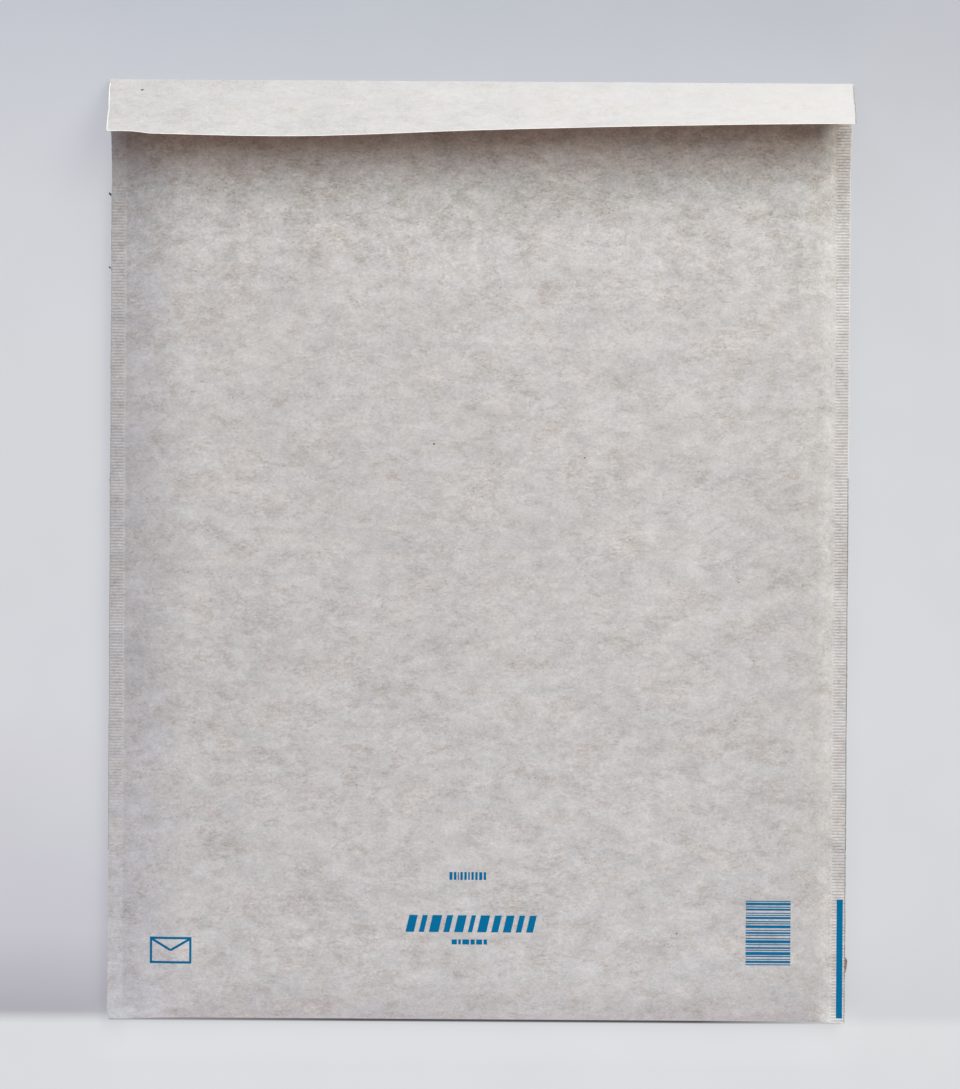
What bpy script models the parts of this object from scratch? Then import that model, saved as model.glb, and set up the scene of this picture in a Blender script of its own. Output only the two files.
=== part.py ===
"""Padded mailing envelope, lying on its back with the flap side up. Metres, +Z up.

+Y runs from the bottom fold to the crease of the flap, and +X to the right of someone who looks down
on the front. The origin is on the ground, under the middle of the outline.
"""

import math
from typing import NamedTuple

import bmesh
import bpy

# Paper sheet
SHEET_WIDTH = 0.370
BODY_WIDTH = 0.3676
BODY_LENGTH = 0.468
PAPER = 0.00016
MOUTH_DROP = 0.017
WIDTH_BLEND = 0.030

# Padding and pocket
LINING = 0.0028
POCKET_HEIGHT = 0.0086
BOND_GAP = 0.0003
LINING_EDGE_GAP = 0.001
LINING_WELD = 0.005
LINING_BOTTOM_FOLD = 0.006
LINING_SETBACK = 0.002
LINING_OVERHANG = 0.0085

# Side seals: how far the outer edge hangs below the inner one, on the left, -1, and on the right, 1
SEAL_WIDTH = 0.0075
SEAL_THICKNESS = 0.0006
SEAL_DROPS = {-1: 0.0013, 1: 0.0}

# Soft rounding of the body beside the seals, on the left and on the right, and at the bottom fold
SHOULDER_RUNS = {-1: 0.030, 1: 0.018}
SHOULDER_POWERS = {-1: 1.5, 1: 1.7}
BOTTOM_RUN = 0.022
CORNER_DROP = 0.0008

# Flap: its angle to the front panel, in degrees, at evenly spaced places from the left corner to the right
FLAP_LENGTH = 0.044
CREASE_RADIUS = 0.003
FLAP_ANGLES = (52.0, 50.3, 55.7, 59.7, 62.0)

# Closure, on the inner face of the flap
LINER_WIDTH = 0.028
LINER_THICKNESS = 0.0001
LINER_TIP_MARGIN = 0.003
LINER_END_MARGIN = 0.004
ADHESIVE_WIDTH = 0.012
ADHESIVE_THICKNESS = 0.0001
ADHESIVE_END_MARGIN = 0.006
ADHESIVE_TIP_MARGIN = 0.009
STACK_GAP = 0.0003

# How finely the curved stretches are divided
SHOULDER_STEPS = (0.0, 0.12, 0.27, 0.45, 0.68)
PLATEAU_COLUMNS = 12
BOTTOM_TURNS = (0, 16, 33, 51, 70, 90)
PANEL_ROWS = 4
LAP_ROWS = 4
CREASE_ROWS = 7
FLAP_ROWS = 3
STRIP_ROWS = 3

THICKNESS = 2 * (PAPER + BOND_GAP + LINING) + POCKET_HEIGHT
SEAL_Z = THICKNESS / 2
BOTTOM_Y = -BODY_LENGTH / 2
CREASE_Y = BODY_LENGTH / 2 - CREASE_RADIUS
CREASE_Z = CREASE_RADIUS
MOUTH_Y = BODY_LENGTH / 2 - MOUTH_DROP
LAP_LENGTH = CREASE_Y - MOUTH_Y


class Surface(NamedTuple):
    """One of the four pillow-shaped surfaces: both faces of the paper and both faces of the lining."""

    side_inset: float
    bottom_inset: float
    rim: float
    height: float
    mouth: float


PAPER_OUTSIDE = Surface(0.0, 0.0, SEAL_THICKNESS / 2, THICKNESS / 2, MOUTH_Y)
PAPER_INSIDE = Surface(0.0, PAPER, 0.0, THICKNESS / 2 - PAPER, MOUTH_Y)
LINING_OUTSIDE = Surface(
    LINING_EDGE_GAP,
    PAPER + BOND_GAP,
    0.0,
    POCKET_HEIGHT / 2 + LINING,
    MOUTH_Y - LINING_SETBACK,
)
LINING_INSIDE = Surface(
    LINING_EDGE_GAP + LINING_WELD,
    LINING_BOTTOM_FOLD,
    0.0,
    POCKET_HEIGHT / 2,
    MOUTH_Y - LINING_SETBACK,
)


def smooth(share):
    """Eases from 0 to 1."""
    share = min(max(share, 0.0), 1.0)
    return share * share * (3 - 2 * share)


def half_width(y):
    """Half the width of the sheet: the padding draws the body in below the mouth."""
    start = MOUTH_Y - WIDTH_BLEND
    return (BODY_WIDTH + (SHEET_WIDTH - BODY_WIDTH) * smooth((y - start) / (CREASE_Y - start))) / 2


# A column runs the length of the sheet. (-1, share) and (1, share) lie on the left and right shoulder, where
# share goes from 0 at the seal to 1 at the flat middle and is negative on the seal. (0, share) lies on the
# flat middle, where share goes from -1 to 1.
LEFT_EDGE = (-1, -SEAL_WIDTH / SHOULDER_RUNS[-1])
RIGHT_EDGE = (1, -SEAL_WIDTH / SHOULDER_RUNS[1])
MIDDLE_COLUMNS = [(0, 2 * n / PLATEAU_COLUMNS - 1) for n in range(PLATEAU_COLUMNS + 1)]
POCKET_COLUMNS = (
    [(-1, share) for share in SHOULDER_STEPS]
    + MIDDLE_COLUMNS
    + [(1, share) for share in reversed(SHOULDER_STEPS)]
)
SHEET_COLUMNS = [LEFT_EDGE] + POCKET_COLUMNS + [RIGHT_EDGE]


def middle_edge(side, y):
    """x of the edge of the flat middle on this side."""
    return side * (half_width(y) - SEAL_WIDTH - SHOULDER_RUNS[side])


def column_x(column, y, side_inset=0.0):
    side, share = column
    if side:
        return middle_edge(side, y) + side * (1 - share) * (SHOULDER_RUNS[side] - side_inset)
    left, right = middle_edge(-1, y), middle_edge(1, y)
    return left + (share + 1) / 2 * (right - left)


def column_rise(column):
    """How far a panel has risen from the plane of the seals in this column, from 0 to 1."""
    side, share = column
    return 1 - (1 - min(max(share, 0.0), 1.0)) ** SHOULDER_POWERS[side] if side else 1.0


def seal_drop(column):
    """How far a seal hangs below the plane of the seals in this column."""
    side, share = column
    return SEAL_DROPS[side] * max(-share, 0.0) * SHOULDER_RUNS[side] / SEAL_WIDTH if side else 0.0


# A row of a panel is (turn, share): turn is how far round the bottom fold it lies, in degrees, and share how
# far up the straight stretch from there to the mouth.
PANEL_ROW_LIST = [(turn, 0.0) for turn in BOTTOM_TURNS]
PANEL_ROW_LIST += [(90, (n + 1) / PANEL_ROWS) for n in range(PANEL_ROWS)]
BOTTOM_ROW = PANEL_ROW_LIST[0]
MOUTH_ROW = PANEL_ROW_LIST[-1]


def row_y(surface, column, row):
    turn, share = row
    fold = BOTTOM_Y + CORNER_DROP * column_rise(column)
    nose = surface.bottom_inset + (BOTTOM_RUN - surface.bottom_inset) * (1 - math.cos(math.radians(turn)))
    return fold + nose + share * (surface.mouth - fold - BOTTOM_RUN)


def panel_point(surface, column, row, face):
    """A point of the front panel, with face 1, or of the back panel, with face -1."""
    y = row_y(surface, column, row)
    rise = column_rise(column) * math.sin(math.radians(row[0]))
    z = SEAL_Z + face * (surface.rim + (surface.height - surface.rim) * rise) - seal_drop(column)
    return column_x(column, y, surface.side_inset), y, z


def lap_drop(column, share):
    """How far the back sheet has come down to the ground beyond the mouth, share of the way to the crease."""
    at_mouth = panel_point(PAPER_OUTSIDE, column, MOUTH_ROW, -1)[2]
    return at_mouth * (1 - (1 - share) ** 2)


def lap_point(surface, column, share, lift=0.0):
    """A point of the back sheet or back lining between the mouth and the crease."""
    y = MOUTH_Y + share * LAP_LENGTH
    z = panel_point(surface, column, MOUTH_ROW, -1)[2] - lap_drop(column, share) + lift
    return column_x(column, y, surface.side_inset), y, z


def flap_angle(x):
    """Angle of the flap to the front panel at this x, in radians, on a smooth curve through FLAP_ANGLES."""
    last = len(FLAP_ANGLES) - 1
    place = min(max(x / SHEET_WIDTH + 0.5, 0.0), 1.0) * last
    start = min(int(place), last - 1)
    before, here, after, beyond = (
        FLAP_ANGLES[min(max(start + step, 0), last)] for step in (-1, 0, 1, 2)
    )
    t = place - start
    bend = 2 * before - 5 * here + 4 * after - beyond
    swing = 3 * here - 3 * after + beyond - before
    return math.radians(here + 0.5 * t * (after - before + t * (bend + t * swing)))


def flap_point(x, reach, depth):
    """A point of the flap, reach beyond the crease and depth below its outer face."""
    angle = flap_angle(x)
    radius = CREASE_RADIUS - depth
    y = CREASE_Y + radius * math.sin(angle) - reach * math.cos(angle)
    z = CREASE_Z + radius * math.cos(angle) + reach * math.sin(angle)
    return x, y, z


def crease_point(x, share, depth):
    """A point of the crease, share of the way round from the ground to the flap."""
    turn = -math.pi / 2 + share * (math.pi - flap_angle(x))
    radius = CREASE_RADIUS - depth
    return x, CREASE_Y + radius * math.cos(turn), CREASE_Z + radius * math.sin(turn)


def tail_rows():
    """Rows of the back sheet from just past the mouth to the tip of the flap."""
    rows = [("lap", (n + 1) / LAP_ROWS) for n in range(LAP_ROWS)]
    rows += [("crease", (n + 1) / CREASE_ROWS) for n in range(CREASE_ROWS)]
    return rows + [("flap", (n + 1) / FLAP_ROWS) for n in range(FLAP_ROWS)]


def tail_point(column, row, depth):
    stretch, share = row
    if stretch == "lap":
        return lap_point(PAPER_OUTSIDE, column, share, depth)
    x = column_x(column, CREASE_Y)
    if stretch == "crease":
        return crease_point(x, share, depth)
    return flap_point(x, share * FLAP_LENGTH, depth)


class Skin:
    """A mesh whose corners are found again by key, so that neighbouring faces share them."""

    def __init__(self):
        self.bm = bmesh.new()
        self.corners = {}

    def corner(self, key, point):
        if key not in self.corners:
            self.corners[key] = self.bm.verts.new(point)
        return self.corners[key]

    def face(self, *corners):
        ring = [corner for n, corner in enumerate(corners) if corner is not corners[n - 1]]
        if len(ring) > 2:
            self.bm.faces.new(ring)

    def strip(self, first, second):
        """Quads between two chains with a corner each for each step."""
        for n in range(len(first) - 1):
            self.face(first[n], first[n + 1], second[n + 1], second[n])

    def lattice(self, chains):
        for first, second in zip(chains, chains[1:]):
            self.strip(first, second)

    def finish(self, name, material):
        bmesh.ops.recalc_face_normals(self.bm, faces=self.bm.faces)
        if self.bm.calc_volume(signed=True) < 0:
            bmesh.ops.reverse_faces(self.bm, faces=self.bm.faces)
        mesh = bpy.data.meshes.new(name)
        self.bm.to_mesh(mesh)
        self.bm.free()
        mesh.shade_smooth()
        mesh.set_sharp_from_angle(angle=math.radians(35))
        mesh.materials.append(material)
        piece = bpy.data.objects.new(name, mesh)
        bpy.context.scene.collection.objects.link(piece)


def panel_corner(skin, name, surface, column, row, face):
    """A corner of a pocket surface. Its two faces share their corners along a rim of no height."""
    on_rim = surface.rim == 0 and (row == BOTTOM_ROW or abs(column[1]) < 1e-9 and column[0] != 0)
    return skin.corner((name, column, row, 0 if on_rim else face), panel_point(surface, column, row, face))


def panel_chains(skin, name, surface, columns, face):
    return [
        [panel_corner(skin, name, surface, column, row, face) for row in PANEL_ROW_LIST]
        for column in columns
    ]


def paper_envelope(material):
    skin = Skin()
    pocket = slice(1, -1)
    front = panel_chains(skin, "outside", PAPER_OUTSIDE, SHEET_COLUMNS, 1)
    back = panel_chains(skin, "outside", PAPER_OUTSIDE, SHEET_COLUMNS, -1)
    front_inside = panel_chains(skin, "inside", PAPER_INSIDE, POCKET_COLUMNS, 1)
    back_inside = panel_chains(skin, "inside", PAPER_INSIDE, POCKET_COLUMNS, -1)
    skin.lattice(front)
    skin.lattice(back)
    skin.lattice(front_inside)
    skin.lattice(back_inside)

    # The back sheet's inner face begins at the mouth with the pocket's corners and one more on each seal.
    edges = [skin.corner(("seal top", column), lap_point(PAPER_OUTSIDE, column, 0, PAPER))
             for column in (SHEET_COLUMNS[0], SHEET_COLUMNS[-1])]
    top = [edges[0]] + [chain[-1] for chain in back_inside] + [edges[1]]

    # Bottom fold and mouth edge of the pocket
    skin.strip([chain[0] for chain in front], [chain[0] for chain in back])
    skin.strip([chain[-1] for chain in front[pocket]], [chain[-1] for chain in front_inside])

    # Side edges and mouth ends of the seals
    for edge, inner in ((0, 1), (-1, -2)):
        skin.strip(front[edge][:-1], back[edge][:-1])
        skin.face(front[edge][-2], front[edge][-1], top[edge], back[edge][-1], back[edge][-2])
        skin.face(front[edge][-1], front[inner][-1], top[inner], top[edge])

    # Back sheet beyond the mouth, crease and flap
    outer = [[chain[-1] for chain in back]]
    inner = [top]
    for row in tail_rows():
        outer.append([skin.corner(("tail", c, row, 0), tail_point(c, row, 0.0)) for c in SHEET_COLUMNS])
        inner.append([skin.corner(("tail", c, row, 1), tail_point(c, row, PAPER)) for c in SHEET_COLUMNS])
    skin.lattice(outer)
    skin.lattice(inner)
    skin.strip(outer[-1], inner[-1])
    for edge in (0, -1):
        skin.strip([row[edge] for row in outer], [row[edge] for row in inner])
    skin.finish("paper_envelope", material)


def bubble_lining(material):
    skin = Skin()
    sides = {}
    for name, surface in (("outside", LINING_OUTSIDE), ("inside", LINING_INSIDE)):
        for face in (1, -1):
            sides[name, face] = panel_chains(skin, name, surface, POCKET_COLUMNS, face)
            skin.lattice(sides[name, face])
    skin.strip(
        [chain[-1] for chain in sides["outside", 1]],
        [chain[-1] for chain in sides["inside", 1]],
    )

    # The back layer runs on past the mouth, towards the crease.
    outer = [[chain[-1] for chain in sides["outside", -1]]]
    inner = [[chain[-1] for chain in sides["inside", -1]]]
    for n in range(LAP_ROWS + 1):
        share = n / LAP_ROWS * LINING_OVERHANG / LAP_LENGTH
        for name, surface, rows in (("outside", LINING_OUTSIDE, outer), ("inside", LINING_INSIDE, inner)):
            rows.append([
                skin.corner(("lap", name, c, n), lap_point(surface, c, share)) for c in POCKET_COLUMNS
            ])
    skin.lattice(outer)
    skin.lattice(inner)
    skin.strip(outer[-1], inner[-1])
    for edge in (0, -1):
        skin.strip([row[edge] for row in outer], [row[edge] for row in inner])
    skin.finish("bubble_lining", material)


def flap_strip(name, width, thickness, tip_margin, end_margin, depth, material):
    """A thin band across the inner face of the flap, depth below its outer face."""
    skin = Skin()
    half = SHEET_WIDTH / 2 - end_margin
    folds = [column_x(column, CREASE_Y) for column in SHEET_COLUMNS]
    places = [-half] + [x for x in folds if abs(x) < half - thickness] + [half]
    tip = FLAP_LENGTH - tip_margin
    reaches = [tip - width * n / STRIP_ROWS for n in range(STRIP_ROWS + 1)]
    outer, inner = (
        [[skin.corner((x, reach, level), flap_point(x, reach, level)) for reach in reaches] for x in places]
        for level in (depth, depth + thickness)
    )
    skin.lattice(outer)
    skin.lattice(inner)
    for edge in (0, -1):
        skin.strip([chain[edge] for chain in outer], [chain[edge] for chain in inner])
        skin.strip(outer[edge], inner[edge])
    skin.finish(name, material)


def plain_material(name, colour, roughness):
    material = bpy.data.materials.new(name)
    material.use_nodes = True
    shader = material.node_tree.nodes["Principled BSDF"]
    shader.inputs["Base Color"].default_value = (*colour, 1.0)
    shader.inputs["Roughness"].default_value = roughness
    shader.inputs["Metallic"].default_value = 0.0
    return material


def build():
    for old in list(bpy.data.objects):
        bpy.data.objects.remove(old, do_unlink=True)
    paper_envelope(plain_material("recycled_paper", (0.56, 0.53, 0.50), 0.8))
    bubble_lining(plain_material("bubble_film", (0.75, 0.77, 0.78), 0.25))
    adhesive_depth = PAPER + STACK_GAP
    flap_strip(
        "adhesive_strip",
        ADHESIVE_WIDTH,
        ADHESIVE_THICKNESS,
        ADHESIVE_TIP_MARGIN,
        ADHESIVE_END_MARGIN,
        adhesive_depth,
        plain_material("adhesive", (0.75, 0.70, 0.52), 0.3),
    )
    flap_strip(
        "release_liner",
        LINER_WIDTH,
        LINER_THICKNESS,
        LINER_TIP_MARGIN,
        LINER_END_MARGIN,
        adhesive_depth + ADHESIVE_THICKNESS + STACK_GAP,
        plain_material("release_paper", (0.58, 0.44, 0.30), 0.35),
    )


build()
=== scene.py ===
"""Looks of the padded envelope: paper sheet, bubble lining, closure strip, print, floor, lights and camera.

Metres. +Y runs from the bottom fold to the crease of the flap, +X to the right of someone who looks down on
the front, and the ground is at z = 0.
"""

import math
from typing import NamedTuple

import bmesh
import bpy
from mathutils import Matrix, Vector


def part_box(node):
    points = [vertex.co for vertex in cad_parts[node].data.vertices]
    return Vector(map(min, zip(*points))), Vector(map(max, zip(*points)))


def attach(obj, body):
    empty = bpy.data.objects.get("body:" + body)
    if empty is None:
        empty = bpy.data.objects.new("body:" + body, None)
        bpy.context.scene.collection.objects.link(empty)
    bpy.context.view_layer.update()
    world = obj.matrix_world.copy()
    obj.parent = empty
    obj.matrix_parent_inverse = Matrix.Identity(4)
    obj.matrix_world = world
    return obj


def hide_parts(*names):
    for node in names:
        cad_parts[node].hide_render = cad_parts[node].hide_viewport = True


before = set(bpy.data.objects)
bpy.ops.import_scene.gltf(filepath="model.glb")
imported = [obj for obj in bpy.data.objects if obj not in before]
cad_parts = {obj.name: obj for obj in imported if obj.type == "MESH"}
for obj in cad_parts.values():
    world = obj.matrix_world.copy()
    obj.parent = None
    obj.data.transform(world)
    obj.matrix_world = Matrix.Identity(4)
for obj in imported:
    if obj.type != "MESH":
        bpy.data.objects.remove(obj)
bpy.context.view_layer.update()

# Sheet sizes, from the frame
SHEET_LOW, SHEET_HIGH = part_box("paper_envelope")
SHEET_WIDTH = SHEET_HIGH[0] - SHEET_LOW[0]
BODY_LENGTH = SHEET_HIGH[1] - SHEET_LOW[1]
BODY_PULL = 0.0024
BODY_WIDTH = SHEET_WIDTH - BODY_PULL
PAPER = 0.00016
MOUTH_DROP = 0.017
WIDTH_BLEND = 0.030

# Padding and pocket
LINING = 0.0028
POCKET_HEIGHT = 0.0086
BOND_GAP = 0.0003
LINING_EDGE_GAP = 0.001
LINING_WELD = 0.005
LINING_BOTTOM_FOLD = 0.006
LINING_SETBACK = 0.002
LINING_OVERHANG = 0.0085
FILM = 0.0003
BUBBLE_RADIUS = 0.0046
BUBBLE_PITCH = 0.0108

# Side seals: how far the outer edge hangs below the inner one, on the left, -1, and on the right, 1
SEAL_WIDTH = 0.0075
SEAL_THICKNESS = 0.0006
SEAL_DROPS = {-1: 0.0013, 1: 0.0}
RIB_PITCH = 0.0015
RIB_HEIGHT = 0.00028
RIB_SAMPLES = 4
EDGE_WOBBLE = 0.00012

# Soft rounding of the body beside the seals, on the left and on the right, and at the bottom fold
SHOULDER_RUNS = {-1: 0.030, 1: 0.018}
SHOULDER_POWERS = {-1: 1.5, 1: 1.7}
BOTTOM_RUN = 0.022
CORNER_DROP = 0.0008

# Flap: its angle to the front panel, in degrees, at evenly spaced places from the left corner to the right
FLAP_LENGTH = 0.044
CREASE_RADIUS = 0.003
FLAP_ANGLES = (52.0, 50.3, 55.7, 59.7, 62.0)

# Closure, on the inner face of the flap
LINER_WIDTH = 0.028
LINER_TIP_MARGIN = 0.003
LINER_END_MARGIN = 0.004
ADHESIVE_WIDTH = 0.012
ADHESIVE_TIP_MARGIN = 0.009
ADHESIVE_END_MARGIN = 0.006
STRIP_THICKNESS = 0.0001
STRIP_GAP = 0.00005

# How far the print lies above the paper
INK_LIFT = 0.00004

THICKNESS = 2 * (PAPER + BOND_GAP + LINING) + POCKET_HEIGHT
SEAL_Z = THICKNESS / 2
BOTTOM_Y = -BODY_LENGTH / 2
CREASE_Y = BODY_LENGTH / 2 - CREASE_RADIUS
CREASE_Z = CREASE_RADIUS
MOUTH_Y = BODY_LENGTH / 2 - MOUTH_DROP
LAP_LENGTH = CREASE_Y - MOUTH_Y


class Surface(NamedTuple):
    """One of the pillow-shaped surfaces: both faces of the paper and both faces of the lining's film."""

    side_inset: float
    bottom_inset: float
    rim: float
    height: float
    mouth: float


PAPER_OUTSIDE = Surface(0.0, 0.0, SEAL_THICKNESS / 2, THICKNESS / 2, MOUTH_Y)
PAPER_INSIDE = Surface(0.0, PAPER, 0.0, THICKNESS / 2 - PAPER, MOUTH_Y)
FILM_INSIDE = Surface(
    LINING_EDGE_GAP + LINING_WELD,
    LINING_BOTTOM_FOLD,
    0.0,
    POCKET_HEIGHT / 2,
    MOUTH_Y - LINING_SETBACK,
)
FILM_OUTSIDE = Surface(
    LINING_EDGE_GAP + LINING_WELD - FILM,
    LINING_BOTTOM_FOLD - FILM,
    0.0,
    POCKET_HEIGHT / 2 + FILM,
    MOUTH_Y - LINING_SETBACK,
)


def smooth(share):
    """Eases from 0 to 1."""
    share = min(max(share, 0.0), 1.0)
    return share * share * (3 - 2 * share)


def half_width(y):
    """Half the width of the sheet: the padding draws the body in below the mouth."""
    start = MOUTH_Y - WIDTH_BLEND
    return (BODY_WIDTH + (SHEET_WIDTH - BODY_WIDTH) * smooth((y - start) / (CREASE_Y - start))) / 2


# Columns and rows of the sheet. (-1, share) and (1, share) lie on the left and right shoulder, where share
# goes from 0 at the seal to 1 at the flat middle and is negative on the seal. (0, share) lies on the flat
# middle.
SHOULDER_COLUMNS = 14
SHOULDER_BUNCHING = 1.3
MIDDLE_PITCHES = 64
PANEL_ROWS = 92
BOTTOM_TURN = 9
LAP_ROWS = 5
CREASE_ROWS = 12
FLAP_ROWS = 14


def pocket_columns(shoulder, middle):
    shares = [(n / shoulder) ** SHOULDER_BUNCHING for n in range(shoulder)]
    return (
        [(-1, share) for share in shares]
        + [(0, 2 * n / middle - 1) for n in range(middle + 1)]
        + [(1, share) for share in reversed(shares)]
    )


def panel_rows(turn_step, straight):
    rows = [(turn, 0.0) for turn in range(0, 90, turn_step)]
    return rows + [(90, n / straight) for n in range(straight + 1)]


def middle_edge(side, y):
    """x of the edge of the flat middle on this side."""
    return side * (half_width(y) - SEAL_WIDTH - SHOULDER_RUNS[side])


def column_x(column, y, side_inset=0.0):
    side, share = column
    if side:
        return middle_edge(side, y) + side * (1 - share) * (SHOULDER_RUNS[side] - side_inset)
    left, right = middle_edge(-1, y), middle_edge(1, y)
    return left + (share + 1) / 2 * (right - left)


def rise_of(side, share):
    """How far a panel has risen from the plane of the seals, share of the way over a shoulder."""
    return 1 - (1 - min(max(share, 0.0), 1.0)) ** SHOULDER_POWERS[side]


def column_rise(column):
    return rise_of(*column) if column[0] else 1.0


def rise_at(x, y):
    """The same at any place on a panel."""
    side = -1 if x < 0 else 1
    return rise_of(side, (half_width(y) - SEAL_WIDTH - abs(x)) / SHOULDER_RUNS[side])


def seal_drop(side, inset):
    """How far a seal hangs below the plane of the seals, this far in from its outer edge."""
    return SEAL_DROPS[side] * max(SEAL_WIDTH - inset, 0.0) / SEAL_WIDTH


# Slow waves that keep the padded front from being a perfect plane: wavelengths along X and Y, phase, height
SWELLS = (
    (0.210, 0.330, 0.4, 0.00022),
    (-0.135, 0.190, 2.1, 0.00018),
    (0.088, 0.145, 4.0, 0.00010),
    (0.310, -0.098, 1.2, 0.00014),
)
SWELL_FADE = 0.030


def swell(x, y):
    """Height of the slow waves on the front, fading to nothing at its edges."""
    inset = min(half_width(y) - SEAL_WIDTH - abs(x), y - BOTTOM_Y, MOUTH_Y - y)
    fade = smooth(inset / SWELL_FADE)
    return fade * sum(
        height * math.sin(2 * math.pi * (x / wide + y / long) + phase) for wide, long, phase, height in SWELLS
    )


def row_y(surface, column, row):
    turn, share = row
    fold = BOTTOM_Y + CORNER_DROP * column_rise(column)
    nose = surface.bottom_inset + (BOTTOM_RUN - surface.bottom_inset) * (1 - math.cos(math.radians(turn)))
    return fold + nose + share * (surface.mouth - fold - BOTTOM_RUN)


def panel_point(surface, column, row, face):
    """A point of the front panel, with face 1, or of the back panel, with face -1."""
    y = row_y(surface, column, row)
    x = column_x(column, y, surface.side_inset)
    rise = column_rise(column) * math.sin(math.radians(row[0]))
    z = SEAL_Z + face * (surface.rim + (surface.height - surface.rim) * rise)
    if column[0]:
        z -= seal_drop(column[0], SEAL_WIDTH + column[1] * SHOULDER_RUNS[column[0]])
    return x, y, z + (swell(x, y) if face > 0 else 0.0)


def fold_rise(y):
    """How far a panel has risen round the bottom fold at this y, from 0 to 1."""
    along = min(max((y - BOTTOM_Y - CORNER_DROP) / BOTTOM_RUN, 0.0), 1.0)
    return math.sqrt(1 - (1 - along) ** 2)


def front_height(x, y):
    """Height of the front panel's outer face above the ground at any place on it."""
    rim = SEAL_THICKNESS / 2
    return SEAL_Z + rim + (THICKNESS / 2 - rim) * rise_at(x, y) * fold_rise(y) + swell(x, y)


def lap_drop(column, share):
    """How far the back sheet has come down to the ground beyond the mouth, share of the way to the crease."""
    at_mouth = panel_point(PAPER_OUTSIDE, column, (90, 1.0), -1)[2]
    return at_mouth * (1 - (1 - share) ** 2)


def lap_point(surface, column, share, lift=0.0):
    """A point of the back sheet or back lining between the mouth and the crease."""
    y = MOUTH_Y + share * LAP_LENGTH
    z = panel_point(surface, column, (90, 1.0), -1)[2] - lap_drop(column, share) + lift
    return column_x(column, y, surface.side_inset), y, z


def flap_angle(x):
    """Angle of the flap to the front panel at this x, in radians, on a smooth curve through FLAP_ANGLES."""
    last = len(FLAP_ANGLES) - 1
    place = min(max(x / SHEET_WIDTH + 0.5, 0.0), 1.0) * last
    start = min(int(place), last - 1)
    before, here, after, beyond = (
        FLAP_ANGLES[min(max(start + step, 0), last)] for step in (-1, 0, 1, 2)
    )
    t = place - start
    bend = 2 * before - 5 * here + 4 * after - beyond
    swing = 3 * here - 3 * after + beyond - before
    return math.radians(here + 0.5 * t * (after - before + t * (bend + t * swing)))


# The flap's left end is kinked up a little, and its cut edges waver.
KINK_X = -0.168
KINK_BLEND = 0.012
KINK_DEGREES = 1.4


def flap_bend(x, reach):
    """Angle of the flap at this reach: the kink at its left end grows towards the tip."""
    kink = math.radians(KINK_DEGREES) * smooth((KINK_X - x) / KINK_BLEND + 0.5)
    return flap_angle(x) + kink * (reach / FLAP_LENGTH)


def flap_point(x, reach, depth):
    """A point of the flap, reach beyond the crease and depth below its outer face."""
    angle = flap_bend(x, reach)
    radius = CREASE_RADIUS - depth
    y = CREASE_Y + radius * math.sin(angle) - reach * math.cos(angle)
    z = CREASE_Z + radius * math.cos(angle) + reach * math.sin(angle)
    return x, y, z


def crease_point(x, share, depth):
    """A point of the crease, share of the way round from the ground to the flap."""
    turn = -math.pi / 2 + share * (math.pi - flap_angle(x))
    radius = CREASE_RADIUS - depth
    return x, CREASE_Y + radius * math.cos(turn), CREASE_Z + radius * math.sin(turn)


# Width of the worn trim along the tip of the flap, and how far its cut ends waver
TRIM = 0.0006
END_WOBBLE = 0.00014


def tail_rows():
    """Rows of the back sheet from just past the mouth to the tip of the flap."""
    rows = [("lap", (n + 1) / LAP_ROWS) for n in range(LAP_ROWS)]
    rows += [("crease", (n + 1) / CREASE_ROWS) for n in range(CREASE_ROWS)]
    rows += [("flap", (n + 1) / FLAP_ROWS * (1 - TRIM / FLAP_LENGTH)) for n in range(FLAP_ROWS)]
    return rows + [("flap", 1.0)]


def end_waver(side, reach):
    """How far the flap's cut end stands in or out at this reach."""
    wave = math.sin(reach * 240 + side) + 0.6 * math.sin(reach * 530 + 2 * side)
    return side * END_WOBBLE * wave


def tail_point(column, row, depth):
    stretch, share = row
    if stretch == "lap":
        return lap_point(PAPER_OUTSIDE, column, share, depth)
    x = column_x(column, CREASE_Y)
    if stretch == "crease":
        return crease_point(x, share, depth)
    reach = share * FLAP_LENGTH
    x, y, z = flap_point(x, reach, depth)
    if column[0] and column[1] < 0:
        x += end_waver(column[0], reach)
    return x, y, z


SHARP_ANGLE = math.radians(40)


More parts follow.
